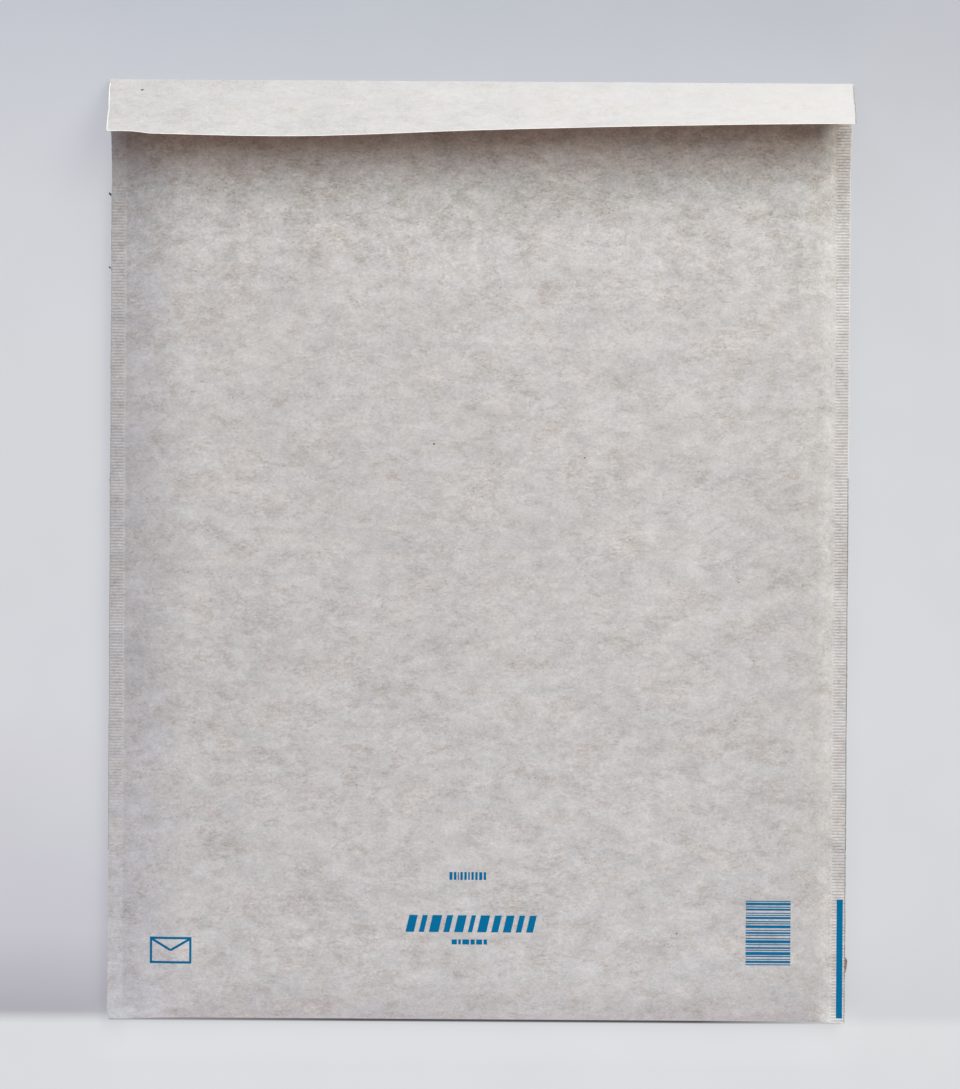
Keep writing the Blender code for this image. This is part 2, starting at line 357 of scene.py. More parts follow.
class Skin:
    """A mesh whose corners are found again by key, so that neighbouring faces share them."""

    def __init__(self):
        self.bm = bmesh.new()
        self.corners = {}

    def corner(self, key, point):
        if key not in self.corners:
            self.corners[key] = self.bm.verts.new(point)
        return self.corners[key]

    def face(self, *corners):
        ring = [corner for n, corner in enumerate(corners) if corner is not corners[n - 1]]
        if len(ring) > 2:
            self.bm.faces.new(ring)

    def strip(self, first, second):
        """Quads between two chains with a corner each for each step."""
        for n in range(len(first) - 1):
            self.face(first[n], first[n + 1], second[n + 1], second[n])

    def lattice(self, chains):
        for first, second in zip(chains, chains[1:]):
            self.strip(first, second)

    def lace(self, first, second):
        """Triangles between two chains along Y whose corners don't pair up."""
        a, b = 0, 0
        while a < len(first) - 1 or b < len(second) - 1:
            step_first = b == len(second) - 1 or (
                a < len(first) - 1 and first[a + 1].co.y <= second[b + 1].co.y
            )
            if step_first:
                self.face(first[a], first[a + 1], second[b])
                a += 1
            else:
                self.face(first[a], second[b + 1], second[b])
                b += 1

    def finish(self, name, material):
        bmesh.ops.recalc_face_normals(self.bm, faces=self.bm.faces)
        if self.bm.calc_volume(signed=True) < 0:
            bmesh.ops.reverse_faces(self.bm, faces=self.bm.faces)
        mesh = bpy.data.meshes.new(name)
        self.bm.to_mesh(mesh)
        self.bm.free()
        mesh.shade_smooth()
        mesh.set_sharp_from_angle(angle=SHARP_ANGLE)
        mesh.materials.append(material)
        piece = bpy.data.objects.new(name, mesh)
        bpy.context.scene.collection.objects.link(piece)
        return piece


def panel_corner(skin, name, surface, column, row, face):
    """A corner of a pocket surface. Its two faces share their corners along a rim of no height."""
    on_rim = surface.rim == 0 and (row == (0, 0.0) or column[0] != 0 and abs(column[1]) < 1e-9)
    return skin.corner((name, column, row, 0 if on_rim else face), panel_point(surface, column, row, face))


def panel_chains(skin, name, surface, columns, rows, face):
    return [[panel_corner(skin, name, surface, column, row, face) for row in rows] for column in columns]


# Where the ribs of a seal run, in from its outer edge: height of the ribs at each chain, as a share
SEAL_CHAINS = ((0.0, 0.35), (0.0007, 0.9), (0.0042, 1.0), (0.0067, 0.9), (0.0073, 0.0))
RIB_UNEVEN = 0.2

# Height of the bead at the inner end of the ribs, and share of the ribs' height on each seal. On the left
# seal the ribs fade out towards both of these ends along Y
SEAL_BEADS = {-1: 0.0, 1: 0.00014}
RIB_SHARES = {-1: 0.6, 1: 1.0}
RIB_LEFT_ENDS = ((0.185, 0.165), (-0.150, -0.080))


def rib_wave(y):
    """Height of the crimped ribs at this y, from 0 to RIB_HEIGHT."""
    phase = 2 * math.pi * ((y - BOTTOM_Y) / RIB_PITCH - 0.25)
    strength = 1 - RIB_UNEVEN + RIB_UNEVEN * math.sin(y * 61) * math.sin(y * 23 + 1)
    return strength * RIB_HEIGHT * (0.5 + 0.5 * math.cos(phase))


def rib_share(side, y):
    share = RIB_SHARES[side]
    if side < 0:
        for none, full in RIB_LEFT_ENDS:
            share *= min(1.0, max(0.0, (y - none) / (full - none)))
    return share


def edge_waver(side, y):
    """How far the cut edge of a seal stands in or out at this y."""
    wave = math.sin(y * 95 + side) + 0.7 * math.sin(y * 311 + 2 * side) + 0.6 * math.sin(y * 1400)
    return EDGE_WOBBLE * wave / 2


def seal_ys():
    step = RIB_PITCH / RIB_SAMPLES
    count = int((MOUTH_Y - BOTTOM_Y) / step)
    return [BOTTOM_Y + (n + 0.5) * step for n in range(1, count - 1)]


def seal_chains(skin, side, face):
    """The fine chains of corners of one face of a seal."""
    chains = []
    for n, (inset, share) in enumerate(SEAL_CHAINS):
        chain = []
        for y in [BOTTOM_Y] + seal_ys() + [MOUTH_Y]:
            x = half_width(y) - inset
            z = SEAL_Z + face * SEAL_THICKNESS / 2 - seal_drop(side, inset)
            inside = BOTTOM_Y < y < MOUTH_Y
            if inside:
                z += share * rib_share(side, y) * rib_wave(y)
                if n == len(SEAL_CHAINS) - 1 and face > 0:
                    z += SEAL_BEADS[side]
            if n == 0 and inside:
                x += edge_waver(side, y)
            chain.append(skin.corner(("seal", side, face, n, y), (side * x, y, z)))
        chains.append(chain)
    return chains


# Tone of the paper along its cut edges: 1 where the light catches them and -1 where they are in shade. On
# the seals it goes by y: (side, from, to, mark)
TIP_MARK = 1.0
END_MARKS = {-1: 1.0, 1: -1.0}
SEAL_MARKS = ((-1, -0.150, 0.180, -0.55), (1, -0.240, 0.038, -1.0), (1, 0.041, 0.215, 0.55))


def mark_edges(skin, marks, columns):
    """Marks the cut edges of the flap and of the seals for the paper's material."""
    for key, corner in skin.corners.items():
        if key[0] == "seal" and key[2:4] == (1, 0):
            for side, start, end, mark in SEAL_MARKS:
                if key[1] == side and start < key[4] < end:
                    corner[marks] = mark
        elif key[0] == "tail" and key[2][0] == "flap":
            if key[2][1] == 1.0:
                corner[marks] = TIP_MARK
            for end in (columns[0], columns[-1]):
                if key[1] == end:
                    corner[marks] = END_MARKS[end[0]]


def paper_sheet(material):
    """The whole folded sheet, as one closed skin."""
    skin = Skin()
    marks = skin.bm.verts.layers.float.new("edge")
    fine = pocket_columns(SHOULDER_COLUMNS, MIDDLE_PITCHES)
    rows = panel_rows(BOTTOM_TURN, PANEL_ROWS)
    front, back, front_inside, back_inside = (
        panel_chains(skin, name, surface, fine, rows, face)
        for name, surface in (("outside", PAPER_OUTSIDE), ("inside", PAPER_INSIDE))
        for face in (1, -1)
    )
    for chains in (front, back, front_inside, back_inside):
        skin.lattice(chains)
    skin.strip([chain[0] for chain in front], [chain[0] for chain in back])
    skin.strip([chain[-1] for chain in front], [chain[-1] for chain in front_inside])

    # Seals: fine ribbed chains on both faces, laced to the panels
    outer_row = [chain[-1] for chain in back]
    inner_row = [chain[-1] for chain in back_inside]
    edge_columns = []
    for side, inner in ((-1, 0), (1, -1)):
        above = seal_chains(skin, side, 1)
        below = seal_chains(skin, side, -1)
        for chains in (above, below):
            skin.lattice(chains)
        skin.lace(above[-1], front[inner])
        skin.lace(below[-1], back[inner])
        skin.strip(above[0][:-1], below[0][:-1])
        skin.face(*[chain[0] for chain in above], front[inner][0], back[inner][0],
                  *[chain[0] for chain in reversed(below)])
        columns = [(side, -(SEAL_WIDTH - inset) / SHOULDER_RUNS[side]) for inset, _ in SEAL_CHAINS]
        top = [skin.corner(("seal top", c), lap_point(PAPER_OUTSIDE, c, 0, PAPER)) for c in columns]
        skin.face(*[chain[-1] for chain in above], front[inner][-1], inner_row[inner], *reversed(top))
        skin.face(above[0][-2], above[0][-1], top[0], below[0][-1], below[0][-2])
        edge_columns.append((columns, top, [chain[-1] for chain in below]))

    # Back sheet beyond the mouth, crease and flap
    (left, left_top, left_back), (right, right_top, right_back) = edge_columns
    columns = left + fine + right[::-1]
    outer = [left_back + outer_row + right_back[::-1]]
    inner = [left_top + inner_row + right_top[::-1]]
    for row in tail_rows():
        outer.append([skin.corner(("tail", c, row, 0), tail_point(c, row, 0.0)) for c in columns])
        inner.append([skin.corner(("tail", c, row, 1), tail_point(c, row, PAPER)) for c in columns])
    skin.lattice(outer)
    skin.lattice(inner)
    skin.strip(outer[-1], inner[-1])
    for edge in (0, -1):
        skin.strip([row[edge] for row in outer], [row[edge] for row in inner])
    mark_edges(skin, marks, columns)
    return skin.finish("paper_sheet", material)


FILM_SHOULDER_COLUMNS = 6
FILM_MIDDLE_PITCHES = 20
FILM_TURN = 15
FILM_ROWS = 30


def film_shell(skin):
    """The pocket's inner film: a front and a back wall joined at the sides and the bottom fold."""
    columns = pocket_columns(FILM_SHOULDER_COLUMNS, FILM_MIDDLE_PITCHES)
    rows = panel_rows(FILM_TURN, FILM_ROWS)
    walls = {}
    for name, surface in (("outside", FILM_OUTSIDE), ("inside", FILM_INSIDE)):
        for face in (1, -1):
            walls[name, face] = panel_chains(skin, name, surface, columns, rows, face)
            skin.lattice(walls[name, face])
    skin.strip([chain[-1] for chain in walls["outside", 1]], [chain[-1] for chain in walls["inside", 1]])
    outer = [[chain[-1] for chain in walls["outside", -1]]]
    inner = [[chain[-1] for chain in walls["inside", -1]]]
    for n in range(LAP_ROWS + 1):
        share = n / LAP_ROWS * LINING_OVERHANG / LAP_LENGTH
        for name, surface, chains in (("outside", FILM_OUTSIDE, outer), ("inside", FILM_INSIDE, inner)):
            chains.append([skin.corner(("lap", name, c, n), lap_point(surface, c, share)) for c in columns])
    skin.lattice(outer)
    skin.lattice(inner)
    skin.strip(outer[-1], inner[-1])
    for edge in (0, -1):
        skin.strip([row[edge] for row in outer], [row[edge] for row in inner])


def film_place(x, y, face):
    """Height of the film's outer side and of the paper's inner side at a place on either panel."""
    level = SEAL_Z + (swell(x, y) if face > 0 else 0.0)
    rise = rise_at(x, y) * fold_rise(y)
    return tuple(level + face * surface.height * rise for surface in (FILM_OUTSIDE, PAPER_INSIDE))


BUBBLE_SIDES = 8
BUBBLE_HEIGHT = 0.0024
BUBBLE_CLEARANCE = 0.0002
BUBBLE_SINK = 0.0001
BUBBLE_MARGIN = 0.013
BUBBLE_TOP_GAP = 0.0006
BUBBLE_LOW = BOTTOM_Y + 0.6 * BOTTOM_RUN
LEAST_BUBBLE = BUBBLE_HEIGHT / 4

# Rings of a bubble: radius and height, as shares
DOME_RINGS = ((1.0, 0.0), (0.93, 0.55), (0.62, 0.92))


def bubbles(skin, face):
    """Rows of domes between the film and the paper on one panel, staggered."""
    top = MOUTH_Y - LINING_SETBACK if face > 0 else MOUTH_Y + LINING_OVERHANG
    row_step = BUBBLE_PITCH * math.sqrt(3) / 2
    count = int((top - BUBBLE_RADIUS - BUBBLE_LOW) / row_step)
    for row in range(count + 1):
        y = top - BUBBLE_RADIUS - BUBBLE_TOP_GAP - row * row_step
        reach = half_width(y) - SEAL_WIDTH - BUBBLE_MARGIN
        shift = BUBBLE_PITCH / 2 if row % 2 else 0.0
        for column in range(-int(reach / BUBBLE_PITCH) - 1, int(reach / BUBBLE_PITCH) + 2):
            x = column * BUBBLE_PITCH + shift
            if abs(x) > reach:
                continue
            film = film_place(x, y, face)[0]
            room = min(
                face * (film_place(x + across * BUBBLE_RADIUS, y + along * BUBBLE_RADIUS, face)[1] - film)
                for across, along in ((0, 0), (1, 0), (-1, 0), (0, 1), (0, -1))
            )
            height = min(BUBBLE_HEIGHT, room - BUBBLE_CLEARANCE)
            if height > LEAST_BUBBLE:
                dome(skin, (face, row, column), x, y, film - face * BUBBLE_SINK, face * height)


def dome(skin, key, x, y, base, height):
    rings = []
    for n, (radius, rise) in enumerate(DOME_RINGS):
        ring = []
        for side in range(BUBBLE_SIDES):
            turn = 2 * math.pi * side / BUBBLE_SIDES
            spot = (
                x + BUBBLE_RADIUS * radius * math.cos(turn),
                y + BUBBLE_RADIUS * radius * math.sin(turn),
                base + height * rise,
            )
            ring.append(skin.corner((key, n, side), spot))
        rings.append(ring + ring[:1])
    skin.lattice(rings)
    apex = skin.corner((key, "apex"), (x, y, base + height))
    for n in range(BUBBLE_SIDES):
        skin.face(rings[-1][n], rings[-1][n + 1], apex)
    skin.face(*rings[0][:-1])


def bubble_lining(material):
    skin = Skin()
    film_shell(skin)
    bubbles(skin, 1)
    bubbles(skin, -1)
    return skin.finish("bubble_film_layers", material)


STRIP_COLUMNS = 120
STRIP_ROWS = 7


def flap_strip(name, width, tip_margin, end_margin, depth, material):
    """A thin band across the inner face of the flap, depth below its outer face."""
    skin = Skin()
    half = SHEET_WIDTH / 2 - end_margin
    places = [half * (2 * n / STRIP_COLUMNS - 1) for n in range(STRIP_COLUMNS + 1)]
    tip = FLAP_LENGTH - tip_margin
    reaches = [tip - width * n / STRIP_ROWS for n in range(STRIP_ROWS + 1)]
    outer, inner = (
        [[skin.corner((x, reach, level), flap_point(x, reach, level)) for reach in reaches] for x in places]
        for level in (depth, depth + STRIP_THICKNESS)
    )
    skin.lattice(outer)
    skin.lattice(inner)
    for edge in (0, -1):
        skin.strip([chain[edge] for chain in outer], [chain[edge] for chain in inner])
        skin.strip(outer[edge], inner[edge])
    return skin.finish(name, material)


# Print: fields of one ink on the front, each a sheet of small quads that lies on the paper
INK_STEP = 0.003


def ink_patch(skin, key, low_left, low_right, high_right, high_left):
    """A four-sided field of ink between these places on the front."""
    across = math.dist(low_left, low_right)
    along = math.dist(low_left, high_left)
    wide = max(1, math.ceil(across / INK_STEP))
    long = max(1, math.ceil(along / INK_STEP))
    chains = []
    for i in range(wide + 1):
        s = i / wide
        chain = []
        for j in range(long + 1):
            t = j / long
            x, y = (
                (1 - t) * ((1 - s) * low_left[k] + s * low_right[k])
                + t * ((1 - s) * high_left[k] + s * high_right[k])
                for k in (0, 1)
            )
            chain.append(skin.corner((key, i, j), (x, y, front_height(x, y) + INK_LIFT)))
        chains.append(chain)
    skin.lattice(chains)


def ink_bar(skin, key, x, y, width, height, slant=0.0):
    """A field with its lower left corner at x, y, leaning right by slant over its height."""
    ink_patch(skin, key, (x, y), (x + width, y), (x + width + slant, y + height), (x + slant, y + height))


def ink_line(skin, key, start, end, thickness):
    """A straight stroke of ink."""
    length = math.dist(start, end)
    side_x = -(end[1] - start[1]) / length * thickness / 2
    side_y = (end[0] - start[0]) / length * thickness / 2
    ink_patch(skin, key, *(
        (place[0] + way * side_x, place[1] + way * side_y)
        for place, way in ((start, -1), (end, -1), (end, 1), (start, 1))
    ))


# The wide slanted row at the bottom: widths of its bars and the gap after each
ROW_BARS = (4.2, 2.6, 4.8, 3.0, 4.4, 2.2, 4.6, 3.4, 4.0, 2.8, 3.4)
ROW_GAP = 2.4
ROW_LEFT, ROW_BOTTOM, ROW_HEIGHT, ROW_SLANT = -35.2, -189.3, 8.4, 1.9

# The small row of ticks above it
TICK_WIDTHS = (1.5, 1.2, 0.5, 1.2, 1.2, 0.8, 1.2, 1.2, 1.5, 1.2)
TICK_GAP = 0.75
TICK_LEFT, TICK_BOTTOM, TICK_HEIGHT = -13.5, -163.3, 3.9

# The thin line of dashes below it
DASH_WIDTHS = (2.6, 1.3, 3.4, 2.1, 3.0, 1.7)
DASH_GAP = 0.7
DASH_LEFT, DASH_BOTTOM, DASH_HEIGHT = -12.2, -195.4, 2.5

# The picture of an envelope at the lower left
SIGN_LEFT, SIGN_RIGHT, SIGN_BOTTOM, SIGN_TOP = -162.4, -141.6, -205.9, -192.7
SIGN_LINE = 1.15
SIGN_FOLD = 0.5

# The block of level bars at the lower right, from the bottom up: each bar's thickness and the gap above it
BLOCK_BARS = (
    (0.5, 0.6), (1.2, 0.5), (0.5, 0.9), (0.6, 0.4), (1.6, 0.6), (0.5, 0.5), (0.9, 1.0), (0.5, 0.5),
    (1.5, 0.5), (0.6, 1.1), (0.5, 0.5), (1.0, 0.6), (0.5, 0.9), (1.4, 0.6), (0.5, 0.5), (0.6, 1.0),
    (1.2, 0.5), (0.5, 0.6), (0.5, 1.1), (1.0, 0.5), (0.6, 0.6), (1.3, 0.5), (0.5, 0.0),
)
BLOCK_LEFT, BLOCK_RIGHT, BLOCK_BOTTOM, BLOCK_TOP = 134.0, 156.3, -204.8, -172.7

# The plain bar on the right seal
SEAL_BAR_X = (0.17950, 0.18255)
SEAL_BAR_Y = (-0.2319, -0.1723)


def ink_row(skin, name, widths, gap, left, bottom, height, slant=0.0):
    x = left
    for n, width in enumerate(widths):
        ink_bar(skin, (name, n), x / 1000, bottom / 1000, width / 1000, height / 1000, slant / 1000)
        x += width + gap


def seal_top(x, y):
    """Height of the ribbed front face of a seal."""
    inset = half_width(y) - abs(x)
    share = 0.0
    for (near, before), (far, after) in zip(SEAL_CHAINS, SEAL_CHAINS[1:]):
        if near <= inset <= far:
            share = before + (after - before) * (inset - near) / (far - near)
    return SEAL_Z + SEAL_THICKNESS / 2 - seal_drop(-1 if x < 0 else 1, inset) + share * rib_wave(y)


def printed_fields(material):
    skin = Skin()
    ink_row(skin, "row", ROW_BARS, ROW_GAP, ROW_LEFT, ROW_BOTTOM, ROW_HEIGHT, ROW_SLANT)
    ink_row(skin, "ticks", TICK_WIDTHS, TICK_GAP, TICK_LEFT, TICK_BOTTOM, TICK_HEIGHT)
    ink_row(skin, "dashes", DASH_WIDTHS, DASH_GAP, DASH_LEFT, DASH_BOTTOM, DASH_HEIGHT)
    left, right, low, high, line = (
        size / 1000 for size in (SIGN_LEFT, SIGN_RIGHT, SIGN_BOTTOM, SIGN_TOP, SIGN_LINE)
    )
    ink_bar(skin, "sign bottom", left, low, right - left, line)
    ink_bar(skin, "sign top", left, high - line, right - left, line)
    ink_bar(skin, "sign left", left, low + line, line, high - low - 2 * line)
    ink_bar(skin, "sign right", right - line, low + line, line, high - low - 2 * line)
    middle = ((left + right) / 2, low + (high - low) * (1 - SIGN_FOLD))
    ink_line(skin, "sign fold left", (left + line, high - line), middle, line)
    ink_line(skin, "sign fold right", middle, (right - line, high - line), line)
    stretch = (BLOCK_TOP - BLOCK_BOTTOM) / sum(bar + gap for bar, gap in BLOCK_BARS)
    y = BLOCK_BOTTOM
    for n, (bar, gap) in enumerate(BLOCK_BARS):
        width = (BLOCK_RIGHT - BLOCK_LEFT) / 1000
        ink_bar(skin, ("block", n), BLOCK_LEFT / 1000, y / 1000, width, bar * stretch / 1000)
        y += (bar + gap) * stretch
    low, high = SEAL_BAR_Y
    chains = [
        [skin.corner(("bar", x, y), (x, y, seal_top(x, y) + INK_LIFT)) for y in seal_ys() if low < y < high]
        for x in (SEAL_BAR_X[0], half_width(0) - SEAL_CHAINS[2][0], SEAL_BAR_X[1])
    ]
    skin.lattice(chains)
    piece = skin.finish("printed_fields", material)
    up = sum(polygon.normal.z for polygon in piece.data.polygons)
    if up < 0:
        piece.data.flip_normals()
    return piece


# Small damage: outlines in millimetres from a place on a seal's edge, x out of the sheet and y along it
FLAKES = ((1, -0.2047, ((-0.8, -4.6), (0.3, -3.9), (0.95, -1.2), (1.25, 1.6), (0.7, 3.1), (-0.8, 3.6))),)
NICKS = (
    (-1, 0.1767, ((0.1, -0.5), (0.6, -0.9), (1.2, -0.5), (1.5, 0.5), (1.1, 0.9), (0.5, 0.3))),
    (-1, 0.1402, ((0.1, -0.6), (0.9, -0.5), (1.3, 0.1), (1.0, 0.6), (0.4, 0.2))),
)
TAGS = (
    (-1, 0.1762, ((-0.6, -1.2), (0.45, -0.7), (0.55, 0.5), (-0.6, 1.1))),
    (-1, 0.1396, ((-0.6, -1.1), (0.4, -0.9), (0.5, 0.3), (-0.6, 0.8))),
    (-1, 0.0343, ((-0.6, -1.1), (0.5, -0.8), (0.7, 0.4), (-0.6, 1.2))),
    (1, 0.0393, ((-0.6, -0.8), (0.95, 0.0), (-0.6, 0.7))),
)
TAG_THICKNESS = 0.00022


def edge_tag(skin, key, side, y, outline):
    """A small flat scrap of paper that stands out of a seal's edge."""
    rims = []
    for face in (1, -1):
        z = SEAL_Z - SEAL_DROPS[side] + face * TAG_THICKNESS / 2
        rim = []
        for n, (out, along) in enumerate(outline):
            x = side * (half_width(y) + out / 1000)
            rim.append(skin.corner((key, face, n), (x, y + along / 1000, z)))
        skin.face(*rim)
        rims.append(rim + rim[:1])
    skin.strip(*rims)


def edge_tags(name, rows, material):
    skin = Skin()
    for n, (side, y, outline) in enumerate(rows):
        edge_tag(skin, n, side, y, outline)
    return skin.finish(name, material)


# Dark specks pressed into the paper, in millimetres: x, y and radius on the front, and x, reach and radius on
# the flap
SPECKS = ((52.4, 47.0, 0.46), (99.7, -189.4, 0.46), (-22.5, 53.4, 0.55), (129.4, -14.4, 0.34))
FLAP_SPECKS = ((-168.7, 8.1, 0.78),)
SPECK_SIDES = 9
SPECK_UNEVEN = 0.3
SPECK_FLATNESS = 0.8


def specks(material):
    skin = Skin()
    for n, (x, y, radius) in enumerate(SPECKS + FLAP_SPECKS):
        ring = []
        for side in range(SPECK_SIDES):
            turn = 2 * math.pi * side / SPECK_SIDES
            reach = radius * (1 + SPECK_UNEVEN * math.sin(3 * turn + n))
            along = SPECK_FLATNESS * reach * math.sin(turn)
            place = ((x + reach * math.cos(turn)) / 1000, (y + along) / 1000)
            if n < len(SPECKS):
                point = (*place, front_height(*place) + INK_LIFT)
            else:
                point = flap_point(*place, -INK_LIFT)
            ring.append(skin.corner((n, side), point))
        skin.face(*ring)
    piece = skin.finish("specks", material)
    if piece.data.polygons[0].normal.z < 0:
        piece.data.flip_normals()
    return piece


# Materials

def add_node(tree, kind, inputs=(), **settings):
    """A shader node with its settings and inputs; an input is a value or another node's output."""
    made = tree.nodes.new(kind)
    for name, value in settings.items():
        setattr(made, name, value)
    for slot, value in dict(inputs).items():
        if isinstance(value, bpy.types.NodeSocket):
            tree.links.new(value, made.inputs[slot])
        else:
            made.inputs[slot].default_value = value
    return made


def new_material(name, roughness, **values):
    """A material, its node tree, its shader and its place in millimetres."""
    material = bpy.data.materials.new(name)
    material.use_nodes = True
    tree = material.node_tree
    shader = tree.nodes["Principled BSDF"]
    shader.inputs["Roughness"].default_value = roughness
    for slot, value in values.items():
        shader.inputs[slot.replace("_", " ")].default_value = value
    place = add_node(tree, "ShaderNodeTexCoord").outputs["Object"]
    millimetres = scaled(tree, place, (1000, 1000, 1000))
    return material, tree, shader, millimetres


def scaled(tree, vector, factors):
    return add_node(tree, "ShaderNodeVectorMath", {0: vector, 1: factors}, operation="MULTIPLY").outputs[0]


def noise(tree, vector, scale, detail=2.0, roughness=0.5, distortion=0.0):
    inputs = dict(Vector=vector, Scale=scale, Detail=detail, Roughness=roughness, Distortion=distortion)
    return add_node(tree, "ShaderNodeTexNoise", inputs).outputs[0]


def maths(tree, operation, *values):
    return add_node(tree, "ShaderNodeMath", dict(enumerate(values)), operation=operation).outputs[0]


def product(tree, *values):
    """All of these values multiplied."""
    result = values[0]
    for value in values[1:]:
        result = maths(tree, "MULTIPLY", result, value)
    return result


def rest(tree, share):
    """What a share leaves of 1."""
    return maths(tree, "SUBTRACT", 1.0, share)


def toned(tree, colour, tone):
    return add_node(tree, "ShaderNodeVectorMath", {0: colour, "Scale": tone}, operation="SCALE").outputs[0]


def ramp(tree, value, low, high, out_low=0.0, out_high=1.0):
    """Carries value from low..high to out_low..out_high, clamped."""
    inputs = {"Value": value, "From Min": low, "From Max": high, "To Min": out_low, "To Max": out_high}
    return add_node(tree, "ShaderNodeMapRange", inputs).outputs[0]


def mixed(tree, share, first, second, blend="MIX"):
    made = add_node(tree, "ShaderNodeMix", {0: share}, data_type="RGBA", blend_type=blend)
    for slot, value in ((6, first), (7, second)):
        if isinstance(value, bpy.types.NodeSocket):
            tree.links.new(value, made.inputs[slot])
        else:
            made.inputs[slot].default_value = (*value, 1.0)
    return made.outputs[2]


def bumped(tree, shader, height, strength, distance):
    made = add_node(tree, "ShaderNodeBump", {"Height": height, "Strength": strength, "Distance": distance})
    tree.links.new(made.outputs[0], shader.inputs["Normal"])


# Colours of the paper
PAPER_COOL = (0.550, 0.534, 0.528)
PAPER_WARM = (0.474, 0.440, 0.416)
PAPER_SPECK = (0.26, 0.208, 0.17)
TINT_COOL = (0.991, 1.0, 1.010)
TINT_WARM = (1.009, 1.0, 0.990)

# Texture of the paper. A noise is its scale for each millimetre, detail, roughness and distortion. A span is
# the stretch of a value over which something comes in, and then how much of it there is at each end. A run is
# how fast the texture changes along X, Y and Z
FIBRE_RUN = (0.66, 1.0, 1.0)
CLOUD_NOISE = (0.10, 3.0, 0.66, 0.9)
CLOUD_SPAN = (0.47, 0.62)
THREAD_RUN = (0.55, 1.2, 1.2)
THREAD_NOISE = (0.42, 3.0, 0.62, 1.2)
THREAD_SPAN = (0.42, 0.60)
SPECK_SCALE = 0.42
SPECK_SPAN = (0.05, 0.17, 1.0, 0.0)
SPECK_CHOICE = (0.62, 0.95)
SPECK_CLOUD_SPAN = (0.38, 0.62, 0.25, 0.8)
DOT_NOISE = (1.0, 2.0, 0.7)
DOT_SPAN = (0.60, 0.70)
DOT_CLOUD_SPAN = (0.42, 0.60, 0.10, 0.55)
TINT_NOISE = (0.07, 1.0, 0.5, 0.4)
TINT_SPAN = (0.36, 0.64)

# Grain of the paper: scale, detail and share of each noise
GRAIN_SHARES = ((1.15, 2.0, 0.50), (0.36, 2.0, 0.37), (0.12, 1.0, 0.31), (0.045, 1.0, 0.18))
GRAIN_ROUGHNESS = 0.6

# The clouds stand out more in the shade below the flap, between these places along Y
SHADE_SPAN_Y = (120.0, 185.0)
SHADE_LOUD = 1.45

# The flap faces the light: painted light makes its paper whiter towards the right and its clouds faint, and
# its paper is tinted a little
FLAP_BOUND = (233.0, 237.0)
FLAP_SPAN_X = (-175.0, 175.0)
FLAP_PAINTED_LIGHT = (-0.02, 0.095)
FLAP_CALM = (0.30, 0.75)
FLAP_TINT = (1.0, 0.995, 0.978)

# Cut edges of the paper: painted highlight and painted shade
EDGE_LIGHT = (0.95, 0.92, 0.89)
EDGE_LIGHT_SPAN = (0.25, 0.75)
EDGE_DARK = (0.09, 0.08, 0.075)
EDGE_DARK_SPAN = (-0.15, -0.8)
EDGE_NOISE = (0.9, 2.0, 0.7)
EDGE_NOISE_SPAN = (0.35, 0.60, 0.45, 1.0)

# Painted light and shade on the body: painted light beside the seals, where the shoulders face the light, and
# along the bottom fold, where the floor sends light back; painted shade right of the middle; and a little
# darker on the seals. Each is (axis, from, to, change of tone, the other axis' from and to, share of the
# change at that from)
PAINTED_LIGHT_PATCHES = (
    (0, 118.0, 150.0, -0.045, 130.0, 0.0, 0.0),
    (0, 168.0, 173.5, 0.150, 200.0, 60.0, 0.5),
    (0, 177.0, 180.0, -0.045, 1.0, 0.0, 1.0),
    (0, -130.0, -158.0, 0.085, 60.0, -150.0, 0.25),
    (0, -172.0, -177.5, -0.045, -100.0, 60.0, 0.3),
    (1, -225.5, -232.0, 0.105, -1.0, 0.0, 1.0),
)

# The left shoulder and seal are tinted cooler: painted light, standing in for a cooler light from the left
LEFT_SPAN_X = (-146.0, -166.0)
LEFT_COOL_LIGHT_TINT = (0.985, 1.0, 1.032)

# The paper that turns under at the bottom fold is tinted less warm: painted light that offsets the warm
# return lamp there
BOTTOM_SPAN_Y = (-226.0, -232.0)
BOTTOM_LIGHT_TINT = (1.0, 1.045, 1.05)

# Crimped seals: where they begin and end along X, in millimetres, and the tone of the ribs: painted shade
# in the valleys and painted highlight on top
SEAL_BOUND_IN = (176.7, 177.2)
SEAL_BOUND_OUT = (183.2, 183.6)
RIB_SHADE_AND_HIGHLIGHT = (0.77, 1.08)
RIB_LEFT_LEAST = 0.1
RIB_BROWN = (0.27, 0.225, 0.195)
RIB_BROWN_LEFT = 0.25
RIB_VALLEY = (-0.2, -0.9)
RIB_PATCH_RUN = (0.5, 1.0, 1.0)
RIB_PATCH_NOISE = (0.45, 2.0, 0.6)
RIB_PATCH_SPAN = (0.45, 0.62, 0.0, 0.4)


def flap_share(tree, parts):
    """1 on the flap and 0 on the body, from the place in millimetres."""
    return ramp(tree, maths(tree, "ADD", parts.outputs[1], parts.outputs[2]), *FLAP_BOUND)


